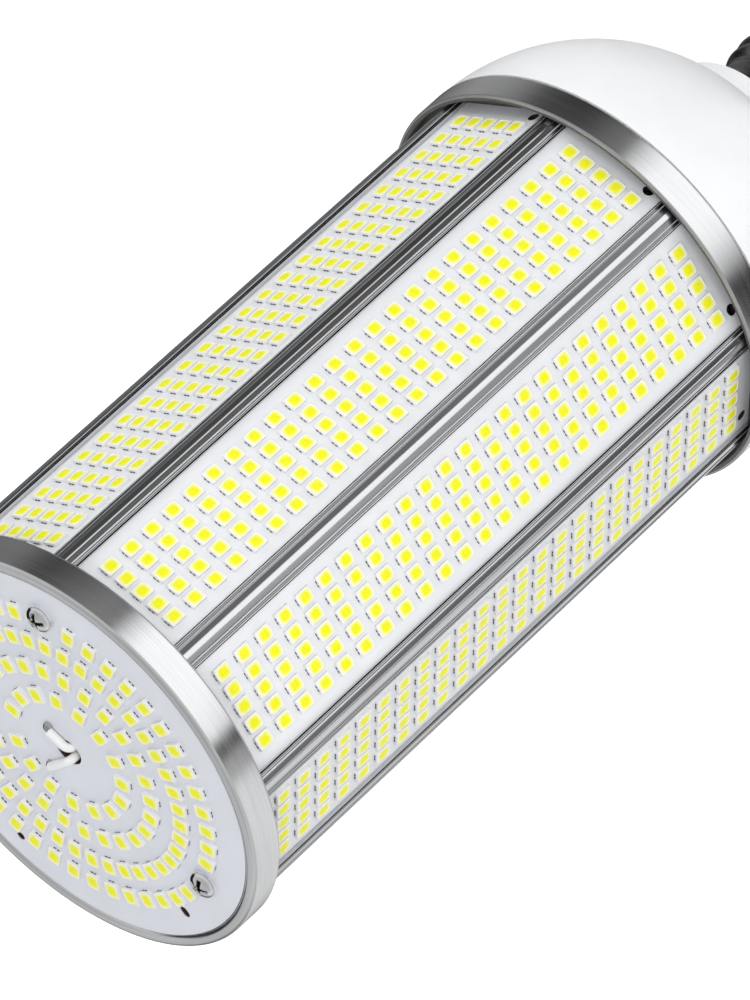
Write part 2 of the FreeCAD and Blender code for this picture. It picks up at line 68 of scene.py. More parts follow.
MM = 0.001
LENGTH = {"subtype": "DISTANCE", "unit": "LENGTH", "precision": 5}
COLOUR = {"size": 3, "min": 0, "max": 1, "subtype": "COLOR"}

# Strips and their LEDs
SIDES = 9
ROWS = 24
COLUMNS = 5

# LED rings of the front board: share of its radius, first angle, pitch angle and count
FRONT_RINGS = ((0.318, 35.9, 23.12, 15), (0.479, 25.8, 14.21, 25), (0.646, 14.2, 8.904, 40))
GROUP_MIDDLES = (-10, 110, 230)
GROUP_SHARE = 0.800
GROUP_PITCH = 8.15
GROUP_COUNT = 13

# Height of the dark marks at an LED's ends, terminal blocks whose near-black colour is a painted
# shade of the slot under the package, and how full of gel the LED is
STRIP_LED = (0.27 * MM, 1.0)
FRONT_LED = (0.20 * MM, 1.06)

# Front board screws, with the turn of each recess in degrees
SCREW_CIRCLE = 33.23 * MM
SCREW_FIRST = -70
SCREW_TURNS = (30, 53, 12)
HEAD_R = 2.85 * MM
HEAD_RIM = 0.22
HEAD_ROUND = 2.4
HEAD_SEGMENTS = 96
HEAD_LEVELS = 34
RECESS_DEPTH = 1.25 * MM
RECESS_RISE = 0.35 * MM
RECESS_HALF = 0.4625 * MM
RECESS_SLOPE = 0.1665 * MM
RECESS_REACH = 1.95 * MM
RECESS_END = 0.35 * MM
RECESS_SHADED = 0.25 * MM

# Turned pieces
TURNED_SEGMENTS = 256
SHELL_SEGMENTS = 96
SHELL_ROWS = 150

# Lands of the extrusion, by mm across from a strip's middle: grey and metal of painted lines, with
# painted shade down in the ribs, a painted black line at each land's edge and painted highlight
# lines that are less metallic
LINES_FROM = 11.1
LINES_TO = 14.3
PAINTED_LINE_SHADES = (
    (11.10, 0.02), (11.43, 0.02), (11.47, 1.0), (11.56, 1.0), (11.60, 0.32), (11.74, 0.32),
    (11.80, 0.85), (11.90, 0.85), (11.96, 0.32), (12.12, 0.32), (12.20, 1.0), (12.44, 1.0),
    (12.52, 0.66), (13.38, 0.66), (13.44, 1.0),
)
HIGHLIGHT_LINE_METAL = (
    (11.43, 1.0), (11.47, 0.45), (11.55, 0.45), (11.59, 1.0), (12.18, 1.0), (12.24, 0.45),
    (12.40, 0.45), (12.46, 1.0),
)

# Plain finishes: colour and roughness
PLATED = {
    "shell_plating": ((0.20, 0.20, 0.205), 0.26),
    "contact_plating": ((0.72, 0.66, 0.52), 0.25),
    "screw_plating": ((0.86, 0.865, 0.88), 0.07),
    "recess_shade": ((0.09, 0.09, 0.093), 0.25),
    "solder": ((0.55, 0.55, 0.56), 0.10),
    # Bus wires coloured near black: painted shade in the strips' wire holes
    "bus_wire_shade": ((0.10, 0.085, 0.07), 0.4),
    "enamelled_wire": ((0.50, 0.22, 0.07), 0.3),
}
MOULDED = {
    # Near-black inside of the end rings: painted shade
    "ring_inside_shade": ((0.10, 0.10, 0.102), 0.6),
    # LED package walls: a darker copy of the package white, a painted shade
    "led_side_shade": ((0.80, 0.795, 0.785), 0.45),
    # Terminal blocks at the LED ends: real terminals, coloured near black as painted shade of the
    # slot under the package
    "led_terminal_shade": ((0.030, 0.024, 0.022), 0.4),
    "black_insulator": ((0.02, 0.02, 0.022), 0.25),
    "white_sheath": ((0.84, 0.84, 0.83), 0.45),
    "case_moulding": ((0.80, 0.80, 0.78), 0.5),
    "laminate": ((0.03, 0.20, 0.07), 0.4),
    "ferrite": ((0.03, 0.03, 0.034), 0.55),
    "can_sleeve": ((0.03, 0.035, 0.08), 0.3),
    "black_moulding": ((0.025, 0.025, 0.025), 0.5),
    "fuse_coat": ((0.12, 0.26, 0.20), 0.4),
}
FRONT_WHITE = (0.715, 0.73, 0.775)
# Painted shade inside the boards' holes and along the strips' edges, near black; the front one is
# tinted reddish brown
FRONT_HOLE_SHADE = (0.075, 0.036, 0.03)
STRIP_HOLE_SHADE = (0.04, 0.032, 0.03)
PLATING_WEAR = 0.12

# Finish of each piece inside the bulb
DRIVER_FINISHES = {
    "driver_case": "case_moulding", "driver_board": "laminate", "transformer_core": "ferrite",
    "transformer_winding": "enamelled_wire", "input_capacitor": "can_sleeve",
    "output_capacitor": "can_sleeve", "line_choke": "enamelled_wire",
    "film_capacitor": "black_moulding", "bridge_rectifier": "black_moulding",
    "switching_transistor": "black_moulding", "fuse": "fuse_coat",
    "contact_lead": "white_sheath", "shell_lead": "white_sheath",
    # The strip buses are coloured near black, a painted shade in the strips' wire holes
    "strip_feed_bus": "bus_wire_shade", "strip_return_bus": "bus_wire_shade",
    "rear_screws": "screw_plating",
}

# Camera and lamps: place, size and power
CAMERA_LENS = 338.33
CAMERA_PLACE = (-0.45042, -1.38747, 0.96192)
CAMERA_TURN = (-0.858642, 0.690242, -2.950372)
LAMP_TARGET = (0, 0, 0.1)
LAMPS = {
    "key_softbox": ((-0.57, -1.56, 0.75), (0.9, 1.4), 11.7),
    "front_softbox": ((-0.2, -0.7, 1.5), (1.2, 1.2), 7.1),
    "side_softbox": ((1.3, -0.5, 0.24), (1.2, 0.5), 4.8),
    "fill_softbox": ((-1.45, 0.0, 0.6), (0.6, 1.4), 3.1),
    "rear_softbox": ((0.2, 1.5, 0.6), (1.2, 1.2), 9.5),
}

# Floor
FLOOR_HALF = 6
FLOOR_GREY = (0.90, 0.90, 0.90)
FLOOR_GLOW = 0.45

# Cards that polished metal sees on the floor: grey by direction in degrees, far out and near
FAR_CARDS = (
    (-180, 0.62), (-173, 0.60), (-168, 0.32), (-160, 0.32), (-157, 0.055), (-151, 0.055),
    (-147, 0.80), (-130, 0.87), (-94, 0.87), (-86, 0.60), (-79, 0.12), (-70, 0.17), (-60, 0.125),
    (-48, 0.075), (-36, 0.033), (-28, 0.06), (-18, 0.12), (-6, 0.12), (40, 0.08), (60, 0.08),
    (84, 0.09), (98, 0.38), (115, 0.52), (145, 0.54), (180, 0.60),
)
NEAR_CARDS = (
    (-180, 0.20), (-173, 0.02), (-156, 0.02), (-151, 0.06), (-146, 0.27), (-136, 0.62),
    (-131, 0.77), (-122, 0.87), (-100, 0.86), (-95, 0.83), (-89, 0.68), (-83.5, 0.48), (-78, 0.13),
    (-68, 0.085), (-62, 0.05), (-57, 0.03), (-51, 0.025), (-41, 0.032), (-30, 0.06), (-20, 0.15),
    (-9, 0.21), (7, 0.235), (29, 0.13), (40, 0.07), (57, 0.04), (69, 0.005), (82, 0.004),
    (98, 0.10), (112, 0.75), (140, 0.80), (160, 0.60), (180, 0.20),
)
CARDS_NEAR = 0.19
CARDS_FAR = 0.36
CARD_STRENGTH = 1.5

# Sky that polished metal sees: grey by height ahead of the bulb, behind it and beside it,
# with the share of the last two by direction in degrees
SKY_COLOUR = (0.95, 0.97, 1.0, 1)
SKY_STRENGTH = 0.48
SKY_AHEAD = ((0.0, 0.42), (0.25, 0.62), (0.5, 0.72), (0.7, 0.54), (0.85, 0.47), (1.0, 0.46))
SKY_BEHIND = (
    (0.0, 0.02), (0.14, 0.02), (0.20, 0.34), (0.40, 0.50), (0.52, 0.70), (0.70, 0.54),
    (0.85, 0.47), (1.0, 0.46),
)
SKY_BESIDE = ((0.0, 0.01), (0.48, 0.02), (0.56, 0.70), (0.70, 0.54), (0.85, 0.47), (1.0, 0.46))
BEHIND_SHARE = ((-180, 0.0), (-5, 0.0), (12, 1.0), (100, 1.0), (125, 0.0))
BESIDE_SHARE = ((-180, 0.0), (4, 0.0), (14, 1.0), (60, 1.0), (68, 0.0))


# Frame readings

def top_of(node):
    """Highest z of a piece of the frame."""
    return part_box(node)[1][2]


def low_of(node):
    """Lowest z of a piece of the frame."""
    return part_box(node)[0][2]


def reach_of(node):
    """Largest radius of a round piece of the frame."""
    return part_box(node)[1][0]


def strip_face():
    """Distance of the strips' faces from the axis."""
    return -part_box("led_strip_1")[0][1]


# Settings

class CornBulbSizes(bpy.types.PropertyGroup):
    """Sizes that the frame leaves open"""
    led_length: bpy.props.FloatProperty(
        name="LED length", description="Long side of one LED package",
        default=3.5 * MM, min=1 * MM, max=6 * MM, **LENGTH)
    led_width: bpy.props.FloatProperty(
        name="LED width", description="Short side of one LED package",
        default=2.8 * MM, min=1 * MM, max=6 * MM, **LENGTH)
    led_height: bpy.props.FloatProperty(
        name="LED height", description="Height of one LED package over its board",
        default=0.75 * MM, min=0.2 * MM, max=2 * MM, **LENGTH)
    row_pitch: bpy.props.FloatProperty(
        name="Row pitch", description="Distance between LED rows along a strip",
        default=5.5 * MM, min=3 * MM, max=10 * MM, **LENGTH)
    column_pitch: bpy.props.FloatProperty(
        name="Column pitch", description="Distance between LED columns across a strip",
        default=3.62 * MM, min=2 * MM, max=8 * MM, **LENGTH)
    thread_pitch: bpy.props.FloatProperty(
        name="Thread pitch", description="Rise of the screw base's thread in one turn",
        default=3.63 * MM, min=1 * MM, max=8 * MM, **LENGTH)
    thread_depth: bpy.props.FloatProperty(
        name="Thread depth", description="Depth from the thread's crest to its root",
        default=1.0 * MM, min=0.2 * MM, max=2 * MM, **LENGTH)


class CornBulbColours(bpy.types.PropertyGroup):
    """Colours of the finishes"""
    phosphor: bpy.props.FloatVectorProperty(
        name="Phosphor", description="Yellow of the LED phosphor",
        default=(0.90, 0.885, 0.010), **COLOUR)
    phosphor_edge: bpy.props.FloatVectorProperty(
        name="Phosphor edge", description="Paler yellow at the rim of the phosphor",
        default=(0.92, 0.915, 0.66), **COLOUR)
    board: bpy.props.FloatVectorProperty(
        name="Board", description="White mask of the LED boards",
        default=(0.805, 0.81, 0.83), **COLOUR)
    cap: bpy.props.FloatVectorProperty(
        name="Cap", description="White moulding of the cap",
        default=(0.89, 0.89, 0.89), **COLOUR)
    ring: bpy.props.FloatVectorProperty(
        name="Ring", description="Brushed aluminium of the end rings",
        default=(0.76, 0.765, 0.775), **COLOUR)
    body: bpy.props.FloatVectorProperty(
        name="Body", description="Aluminium of the extrusion",
        default=(0.70, 0.705, 0.72), **COLOUR)


# Material helpers

def finish(name, colour, roughness, metallic=0.0):
    """New material with one principled shader."""
    made = bpy.data.materials.new(name)
    made.use_nodes = True
    tree = made.node_tree
    tree.nodes.clear()
    out = tree.nodes.new("ShaderNodeOutputMaterial")
    shader = tree.nodes.new("ShaderNodeBsdfPrincipled")
    tree.links.new(shader.outputs["BSDF"], out.inputs["Surface"])
    shader.inputs["Base Color"].default_value = (*colour, 1)
    shader.inputs["Roughness"].default_value = roughness
    shader.inputs["Metallic"].default_value = metallic
    return made, tree, shader


def feed(tree, value, shader, name):
    """Link a value to an input of a shader."""
    tree.links.new(value, shader.inputs[name])


def calculate(tree, operation, *values):
    """Math node on sockets and numbers."""
    node = tree.nodes.new("ShaderNodeMath")
    node.operation = operation
    for place, value in enumerate(values):
        if isinstance(value, (int, float)):
            node.inputs[place].default_value = value
        else:
            tree.links.new(value, node.inputs[place])
    return node.outputs["Value"]


def span(tree, value, low, high):
    """Value mapped so that low gives 0 and high gives 1."""
    node = tree.nodes.new("ShaderNodeMapRange")
    node.inputs["From Min"].default_value = low
    node.inputs["From Max"].default_value = high
    tree.links.new(value, node.inputs["Value"])
    return node.outputs["Result"]


def blend(tree, kind, factor, first, second):
    """Colour mix node."""
    node = tree.nodes.new("ShaderNodeMix")
    node.data_type = "RGBA"
    node.blend_type = kind
    for name, value in (("Factor", factor), ("A", first), ("B", second)):
        if isinstance(value, (int, float)):
            node.inputs[name].default_value = value
        elif isinstance(value, tuple):
            node.inputs[name].default_value = (*value, 1)
        else:
            tree.links.new(value, node.inputs[name])
    return node.outputs["Result"]


def either(tree, factor, first, second):
    """Mix of two shaders."""
    node = tree.nodes.new("ShaderNodeMixShader")
    for place, socket in enumerate((factor, first, second)):
        tree.links.new(socket, node.inputs[place])
    return node.outputs["Shader"]


def noise(tree, vector, detail):
    """Noise texture's value."""
    node = tree.nodes.new("ShaderNodeTexNoise")
    node.inputs["Scale"].default_value = 1.0
    node.inputs["Detail"].default_value = detail
    node.inputs["Roughness"].default_value = 0.55
    tree.links.new(vector, node.inputs["Vector"])
    return node.outputs["Fac"]


def ramp(tree, value, *stops):
    """Colour ramp: each stop is a place and a colour or grey."""
    node = tree.nodes.new("ShaderNodeValToRGB")
    elements = node.color_ramp.elements
    while len(elements) < len(stops):
        elements.new(0.5)
    for element, (place, colour) in zip(elements, stops):
        element.position = place
        if not isinstance(colour, (tuple, list)):
            colour = (colour, colour, colour)
        element.color = (*colour, 1)
    tree.links.new(value, node.inputs["Fac"])
    return node.outputs["Color"]


def ramp_between(tree, value, low, high, stops):
    """Colour ramp whose stops stand between two other values than 0 and 1."""
    return ramp(tree, value, *[((place - low) / (high - low), grey) for place, grey in stops])


def bump(tree, shader, height, distance, strength):
    """Bump from a height value."""
    node = tree.nodes.new("ShaderNodeBump")
    node.inputs["Distance"].default_value = distance
    node.inputs["Strength"].default_value = strength
    tree.links.new(height, node.inputs["Height"])
    feed(tree, node.outputs["Normal"], shader, "Normal")


def tint(colour, factor):
    """Colour made lighter or darker."""
    return tuple(min(1.0, channel * factor) for channel in colour)


def tones(tree, value, colour, low, high):
    """Colour that wavers with a noise value between two tints."""
    return ramp(tree, value, (low[0], tint(colour, low[1])), (high[0], tint(colour, high[1])))


def coordinates(tree, *stretch):
    """Object coordinates, stretched."""
    source = tree.nodes.new("ShaderNodeTexCoord")
    mapping = tree.nodes.new("ShaderNodeMapping")
    mapping.inputs["Scale"].default_value = stretch
    tree.links.new(source.outputs["Object"], mapping.inputs["Vector"])
    return mapping.outputs["Vector"]


def polar(tree, source="Object"):
    """Radius, angle and height of a place round the bulb's axis."""
    place = tree.nodes.new("ShaderNodeTexCoord")
    parts = tree.nodes.new("ShaderNodeSeparateXYZ")
    tree.links.new(place.outputs[source], parts.inputs["Vector"])
    x, y, z = (parts.outputs[axis] for axis in "XYZ")
    squares = [calculate(tree, "MULTIPLY", side, side) for side in (x, y)]
    radius = calculate(tree, "SQRT", calculate(tree, "ADD", *squares))
    return radius, calculate(tree, "ARCTAN2", y, x), z


def round_coordinates(tree, fine, around):
    """Coordinates whose lines run round the bulb's axis: radius, height and a little angle."""
    radius, angle, height = polar(tree)
    joined = tree.nodes.new("ShaderNodeCombineXYZ")
    mapping = tree.nodes.new("ShaderNodeMapping")
    mapping.inputs["Scale"].default_value = (fine, fine, around)
    tree.links.new(radius, joined.inputs["X"])
    tree.links.new(height, joined.inputs["Y"])
    tree.links.new(angle, joined.inputs["Z"])
    tree.links.new(joined.outputs["Vector"], mapping.inputs["Vector"])
    return mapping.outputs["Vector"]


def strip_readings(tree):
    """Distance out along the nearest strip's middle, and distance across from that middle."""
    radius, angle, _ = polar(tree)
    half = math.pi / SIDES
    swing = calculate(tree, "WRAP", calculate(tree, "ADD", angle, math.pi / 2), half, -half)
    out = calculate(tree, "MULTIPLY", radius, calculate(tree, "COSINE", swing))
    across = calculate(tree, "MULTIPLY", radius, calculate(tree, "SINE", swing))
    return out, calculate(tree, "ABSOLUTE", across)


def axial_tangent(tree, shader):
    """Let the gloss stretch round the bulb's axis."""
    tangent = tree.nodes.new("ShaderNodeTangent")
    tangent.direction_type = "RADIAL"
    tangent.axis = "Z"
    feed(tree, tangent.outputs["Tangent"], shader, "Tangent")


# Finishes

def brushed_ring(colour):
    """Aluminium brushed round the axis."""
    made, tree, shader = finish("brushed_ring", colour, 0.24, 1.0)
    shader.inputs["Anisotropic"].default_value = 0.8
    shader.inputs["Anisotropic Rotation"].default_value = 0.25
    axial_tangent(tree, shader)
    fine = noise(tree, round_coordinates(tree, 9000, 3.0), 2.0)
    wide = noise(tree, round_coordinates(tree, 1500, 1.5), 3.0)
    feed(tree, tones(tree, fine, colour, (0.3, 0.93), (0.7, 1.04)), shader, "Base Color")
    feed(tree, ramp(tree, wide, (0.3, 0.20), (0.7, 0.27)), shader, "Roughness")
    bump(tree, shader, fine, 0.005 * MM, 0.3)
    return made


def turned_edge(colour):
    """Matt edge of a ring as the lathe tool left it."""
    made, tree, shader = finish("turned_edge", colour, 0.55, 1.0)
    fine = noise(tree, round_coordinates(tree, 9000, 3.0), 2.0)
    feed(tree, tones(tree, fine, colour, (0.3, 0.92), (0.7, 1.04)), shader, "Base Color")
    feed(tree, ramp(tree, fine, (0.3, 0.5), (0.7, 0.62)), shader, "Roughness")
    return made


def drawn_body_shade_and_highlight(colour):
    """Aluminium with the die's fine lines along its length; painted shade darkens its ribs, a
    painted black line runs at each land's edge and painted highlight lines run along its ridges.
    """
    made, tree, shader = finish("drawn_body_shade_and_highlight", colour, 0.22, 1.0)
    shader.inputs["Anisotropic"].default_value = 0.3
    axial_tangent(tree, shader)
    fine = noise(tree, coordinates(tree, 5000, 5000, 8), 2.0)
    wide = noise(tree, coordinates(tree, 900, 900, 5), 2.0)
    grain = tones(tree, fine, colour, (0.3, 0.92), (0.7, 1.05))
    out, across = strip_readings(tree)
    place = span(tree, across, LINES_FROM * MM, LINES_TO * MM)
    lines = ramp_between(tree, place, LINES_FROM, LINES_TO, PAINTED_LINE_SHADES)
    metal = ramp_between(tree, place, LINES_FROM, LINES_TO, HIGHLIGHT_LINE_METAL)
    # Under a land's lip, near the strip, a plain light grey takes the place of the painted black
    # line
    inward = span(tree, out, 38.90 * MM, 38.84 * MM)
    wall = calculate(tree, "MULTIPLY", inward, span(tree, across, 11.42 * MM, 11.36 * MM))
    lines = blend(tree, "MIX", wall, lines, (0.9, 0.9, 0.9))
    feed(tree, blend(tree, "MULTIPLY", 1.0, grain, lines), shader, "Base Color")
    feed(tree, metal, shader, "Metallic")
    feed(tree, ramp(tree, wide, (0.3, 0.17), (0.7, 0.25)), shader, "Roughness")
    return made


def board_mask(name, colour, hole_shade_colour, below):
    """White mask with a faint cloud of tone; below the face, in holes and on the strips' edges, a
    near-black painted shade shows in place of the board's inside.
    """
    made, tree, shader = finish(name, colour, 0.42)
    shader.inputs["Specular IOR Level"].default_value = 0.4
    cloud = noise(tree, coordinates(tree, 90, 90, 90), 4.0)
    grain = noise(tree, coordinates(tree, 2600, 2600, 2600), 2.0)
    white = tones(tree, cloud, colour, (0.35, 0.975), (0.65, 1.015))
    # Painted shade for the holes, wavering with the cloud
    core = tones(tree, cloud, hole_shade_colour, (0.35, 0.7), (0.65, 1.3))
    feed(tree, blend(tree, "MIX", below(tree), white, core), shader, "Base Color")
    feed(tree, ramp(tree, grain, (0.3, 0.38), (0.7, 0.5)), shader, "Roughness")
    bump(tree, shader, grain, 0.012 * MM, 0.5)
    return made


def below_strip_face(tree):
    """One inside a strip's holes and along its edges, zero on its face."""
    out, _ = strip_readings(tree)
    face = strip_face()
    return span(tree, out, face - 0.06 * MM, face - 0.12 * MM)


def below_front_face(tree):
    """One inside the front board's holes, zero on its face and its rim."""
    radius, _, height = polar(tree)
    face = top_of("front_board")
    rim = reach_of("front_board")
    deep = span(tree, height, face - 0.12 * MM, face - 0.2 * MM)
    within = span(tree, radius, rim - 0.6 * MM, rim - 0.9 * MM)
    return calculate(tree, "MULTIPLY", deep, within)


def led_white():
    """Moulded white of the LED packages."""
    made, tree, shader = finish("led_white", (0.83, 0.83, 0.825), 0.45)
    shader.inputs["Specular IOR Level"].default_value = 0.3
    grain = noise(tree, coordinates(tree, 3000, 3000, 3000), 2.0)
    white = ramp(tree, grain, (0.3, (0.815, 0.815, 0.81)), (0.7, (0.845, 0.845, 0.84)))
    feed(tree, white, shader, "Base Color")
    bump(tree, shader, grain, 0.01 * MM, 0.4)
    return made


def phosphor(core, edge):
    """Yellow gel, pale at its rim and saturated in the middle, with small clouds of grain."""
    made, tree, shader = finish("phosphor", core, 0.32)
    shader.inputs["Specular IOR Level"].default_value = 0.3
    depth = tree.nodes.new("ShaderNodeAttribute")
    depth.attribute_name = "gel_depth"
    middle = tuple(0.62 * a + 0.38 * b for a, b in zip(core, edge))
    colour = ramp(tree, depth.outputs["Fac"], (0.0, edge), (0.5, middle), (0.9, core))
    grain = noise(tree, coordinates(tree, 1800, 1800, 1800), 3.0)
    cloud = ramp(tree, grain, (0.3, 0.94), (0.7, 1.0))
    feed(tree, blend(tree, "MULTIPLY", 1.0, colour, cloud), shader, "Base Color")
    bump(tree, shader, grain, 0.01 * MM, 0.4)
    return made


def plated(name, colour, roughness):
    """Plated metal with faint wear."""
    made, tree, shader = finish(name, colour, roughness, 1.0)
    cloud = noise(tree, coordinates(tree, 500, 500, 500), 4.0)
    fine = noise(tree, coordinates(tree, 4000, 4000, 900), 3.0)
    worn = tones(tree, cloud, colour, (0.3, 1 - PLATING_WEAR), (0.7, 1 + PLATING_WEAR))
    feed(tree, worn, shader, "Base Color")
    gloss = ramp(tree, fine, (0.3, roughness * 0.7), (0.7, roughness * 1.4))
    feed(tree, gloss, shader, "Roughness")
    bump(tree, shader, fine, 0.008 * MM, 0.5)
    return made


def moulded(name, colour, roughness):
    """Moulded plastic with a fine satin grain."""
    made, tree, shader = finish(name, colour, roughness)
    cloud = noise(tree, coordinates(tree, 60, 60, 60), 3.0)
    grain = noise(tree, coordinates(tree, 2200, 2200, 2200), 2.0)
    feed(tree, tones(tree, cloud, colour, (0.35, 0.97), (0.65, 1.015)), shader, "Base Color")
    gloss = ramp(tree, grain, (0.3, roughness * 0.9), (0.7, roughness * 1.15))
    feed(tree, gloss, shader, "Roughness")
    bump(tree, shader, grain, 0.015 * MM, 0.35)
    return made


MATERIALS = {}


def material(name):
    """A finish by name, made once."""
    if name in MATERIALS:
        return MATERIALS[name]
    colours = bpy.context.scene.corn_bulb_colours
    makers = {
        "brushed_ring": lambda: brushed_ring(tuple(colours.ring)),
        "turned_edge": lambda: turned_edge(tint(tuple(colours.ring), 0.8)),
        "drawn_body_shade_and_highlight": lambda: drawn_body_shade_and_highlight(tuple(colours.body)),
        "strip_mask": lambda: board_mask(name, tuple(colours.board), STRIP_HOLE_SHADE, below_strip_face),
        "front_mask": lambda: board_mask(name, FRONT_WHITE, FRONT_HOLE_SHADE, below_front_face),
        "led_white": led_white,
        "phosphor": lambda: phosphor(tuple(colours.phosphor), tuple(colours.phosphor_edge)),
        "cap_moulding": lambda: moulded(name, tuple(colours.cap), 0.34),
    }
    if name in PLATED:
        made = plated(name, *PLATED[name])
    elif name in MOULDED:
        made = moulded(name, *MOULDED[name])
    else:
        made = makers[name]()
    MATERIALS[name] = made
    return made


# Mesh helpers

def add_piece(name, verts, faces, finishes, replaced, indices=None, smooth=35, depths=None):
    """Mesh object that rides on the bulb and stands for pieces of the frame."""
    mesh = bpy.data.meshes.new(name)
    mesh.from_pydata(verts, [], faces)
    if depths:
        mesh.attributes.new("gel_depth", "FLOAT", "POINT").data.foreach_set("value", depths)
    for entry in finishes:
        mesh.materials.append(material(entry))
    if indices:
        mesh.polygons.foreach_set("material_index", indices)
    mesh.shade_smooth()
    mesh.set_sharp_from_angle(angle=math.radians(smooth))
    mesh.update()
    piece = bpy.data.objects.new(name, mesh)
    bpy.context.scene.collection.objects.link(piece)
    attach(piece, "root")
    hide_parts(*replaced)


def dress(node, finish_name):
    """Give a piece of the frame a finish."""
    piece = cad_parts[node]
    if not piece.material_slots:
        piece.data.materials.append(None)
    for entry in piece.material_slots:
        entry.link = "OBJECT"
        entry.material = material(finish_name)


def arc(center, radius, start, end, steps):
    """Points of an arc in the r-z plane, in degrees."""
    points = []
    for index in range(steps + 1):
        angle = math.radians(start + (end - start) * index / steps)
        points.append((center[0] + radius * math.cos(angle), center[1] + radius * math.sin(angle)))
    return points


def circle(radius, z, segments):
    """Points of a level circle round the axis."""
    angles = [2 * math.pi * step / segments for step in range(segments)]
    return [(radius * math.cos(angle), radius * math.sin(angle), z) for angle in angles]


def lathe(profile, segments):
    """Closed profile of (r, z) points turned round the axis."""
    count = len(profile)
    verts = []
    faces = []
    for step in range(segments):
        angle = 2 * math.pi * step / segments
        for r, z in profile:
            verts.append((r * math.cos(angle), r * math.sin(angle), z))
    for step in range(segments):
        here = step * count
        there = (step + 1) % segments * count
        for index in range(count):
            after = (index + 1) % count
            faces.append((here + index, there + index, there + after, here + after))
    return verts, faces


def rounded_loop(half_x, half_y, radius, z, per_corner):
    """Loop of a rectangle with round corners."""
    points = []
    for quarter, (sx, sy) in enumerate(((1, 1), (-1, 1), (-1, -1), (1, -1))):
        for index in range(per_corner):
            angle = math.radians(90 * (quarter + index / (per_corner - 1)))
            points.append((sx * (half_x - radius) + radius * math.cos(angle),
                           sy * (half_y - radius) + radius * math.sin(angle), z))
    return points


# LED packages

LED_FINISHES = ("led_white", "phosphor", "led_terminal_shade", "led_side_shade")
WHITE, GEL, TERMINAL_SHADE, SHADED_SIDE = range(4)


def led_shape(mark, fill):
    """One LED package on z = 0, long side along y: points, gel depths, faces and finish numbers.

    The terminal marks at its ends are mark high and near black, a painted shade of the slot under
    the package, and the gel is fill times its usual width.
    """
    sizes = bpy.context.scene.corn_bulb_sizes
    x = sizes.led_width / 2
    y = sizes.led_length / 2
    top = sizes.led_height
    edge = 0.07 * MM
    corners = 4
    # Half width, half length, corner radius, height, gel depth and finish of the wall up to it
    loops = [
        (x, y, 0.10 * MM, 0, 0, WHITE),
        # The package's side wall takes the darker copy of the white, a painted shade
        (x, y, 0.10 * MM, top - edge, 0, SHADED_SIDE),
        (x - edge, y - edge, 0.14 * MM, top, 0, WHITE),
        (0.91 * fill * x, 0.86 * fill * y, 0.70 * MM, top, 0, WHITE),
        (0.89 * fill * x, 0.84 * fill * y, 0.72 * MM, top - 0.05 * MM, 0, GEL),
        (0.71 * fill * x, 0.655 * fill * y, 0.66 * MM, top - 0.03 * MM, 0.5, GEL),
        (0.47 * fill * x, 0.435 * fill * y, 0.50 * MM, top - 0.01 * MM, 0.95, GEL),
    ]
    points = []
    depths = []
    faces = []
    numbers = []
    count = 4 * corners
    for half_x, half_y, radius, z, depth, _ in loops:
        points += rounded_loop(half_x, half_y, min(radius, half_x), z, corners)
        depths += [depth] * count
    for level in range(len(loops) - 1):
        low = level * count
        high = low + count
        for index in range(count):
            after = (index + 1) % count
            faces.append((low + index, low + after, high + after, high + index))
            numbers.append(loops[level + 1][5])
    middle = len(points)
    points.append((0, 0, top))
    depths.append(1)
    last = (len(loops) - 1) * count
    for index in range(count):
        faces.append((last + index, last + (index + 1) % count, middle))
        numbers.append(GEL)
    faces.append(tuple(reversed(range(count))))
    numbers.append(WHITE)
    for sign in (-1, 1):
        for left, right in ((-0.66 * MM, -0.10 * MM), (0.10 * MM, 0.66 * MM)):
            marked = terminal(left, right, y - 0.10 * MM, y + 0.04 * MM, mark, sign, len(points))
            points += marked[0]
            depths += [0] * len(marked[0])
            faces += marked[1]
            numbers += [TERMINAL_SHADE] * len(marked[1])
    return points, depths, faces, numbers


def terminal(left, right, inner, outer, height, sign, base):
    """Small block at one end of a package: points, and faces numbered from base."""
    points = []
    for x in (left, right):
        for y in (inner, outer):
            for z in (0.0, height):
                points.append((x, sign * y, z))
    faces = [(0, 1, 3, 2), (4, 6, 7, 5), (0, 4, 5, 1), (2, 3, 7, 6), (0, 2, 6, 4), (1, 5, 7, 3)]
    if sign < 0:
        faces = [tuple(reversed(face)) for face in faces]
    return points, [tuple(base + corner for corner in face) for face in faces]


def led_group(name, places, node, mark, fill):
    """LED packages at many places as one piece."""
    points, depths, faces, numbers = led_shape(mark, fill)
    verts = []
    polygons = []
    indices = []
    for place in places:
        base = len(verts)
        verts += [place @ Vector(point) for point in points]
        polygons += [tuple(base + corner for corner in face) for face in faces]
        indices += numbers
    add_piece(name, verts, polygons, LED_FINISHES, (node,), indices, 40,
              depths * len(places))


# Operators

class CORNBULB_OT_strip_leds(bpy.types.Operator):
    """Place the LED packages on the nine strips"""
    bl_idname = "cornbulb.strip_leds"
    bl_label = "Strip LEDs"

    def execute(self, context):
        sizes = context.scene.corn_bulb_sizes
        upright = Matrix.Rotation(math.radians(90), 4, "X")
        stand = Matrix.Translation((0, -strip_face(), 0)) @ upright
        first = low_of("strip_leds_1") + sizes.led_length / 2
        middle = (COLUMNS - 1) // 2
        for side in range(SIDES):
            turn = Matrix.Rotation(2 * math.pi * side / SIDES, 4, "Z")
            places = []
            for row in range(ROWS):
                for column in range(COLUMNS):
                    across = (column - middle) * sizes.column_pitch
                    along = first + row * sizes.row_pitch
                    places.append(turn @ stand @ Matrix.Translation((across, along, 0)))
            node = "strip_leds_%d" % (side + 1)
            led_group("packages_%d" % (side + 1), places, node, *STRIP_LED)
        return {"FINISHED"}


